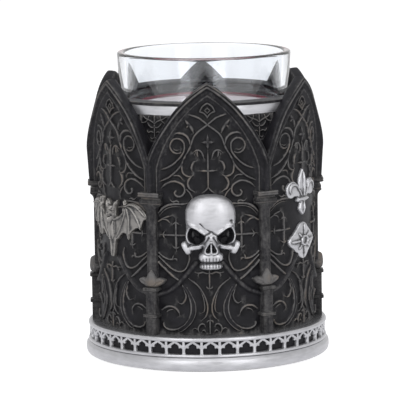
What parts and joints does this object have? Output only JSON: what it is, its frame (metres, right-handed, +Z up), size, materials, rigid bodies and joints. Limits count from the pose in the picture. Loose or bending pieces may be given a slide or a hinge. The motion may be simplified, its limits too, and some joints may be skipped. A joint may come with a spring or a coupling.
{
  "type": "tea light candle holder",
  "caption": "Round cast resin candle holder with pointed arches, carved tracery, a skull and a bat on its panels, and a clear glass cup standing in its top.",
  "frame": {"origin": "middle of the underside, on the surface that the holder stands on", "axes": "+Z up through the glass cup; the panel with the skull faces -Y, the bat's panel is to the left of it and the ornament's to the right"},
  "size_m": [0.088, 0.0878, 0.1093],
  "materials": {
    "black_resin": "cast resin painted charcoal black, dry-brushed grey on its raised edges",
    "silver_paint": "silver paint with a dark wash, on the foot, the band, the skull, the bat and the ornament",
    "clear_glass": "clear pressed glass with a polished rim",
    "printed_paper": "thin pinkish paper with a red rim",
    "black_felt": "thin black felt"
  },
  "bodies": {
    "root": {"holder_body": "black_resin", "glass_cup": "clear_glass", "cup_disc": "printed_paper", "base_felt": "black_felt"}
  },
  "joints": []
}
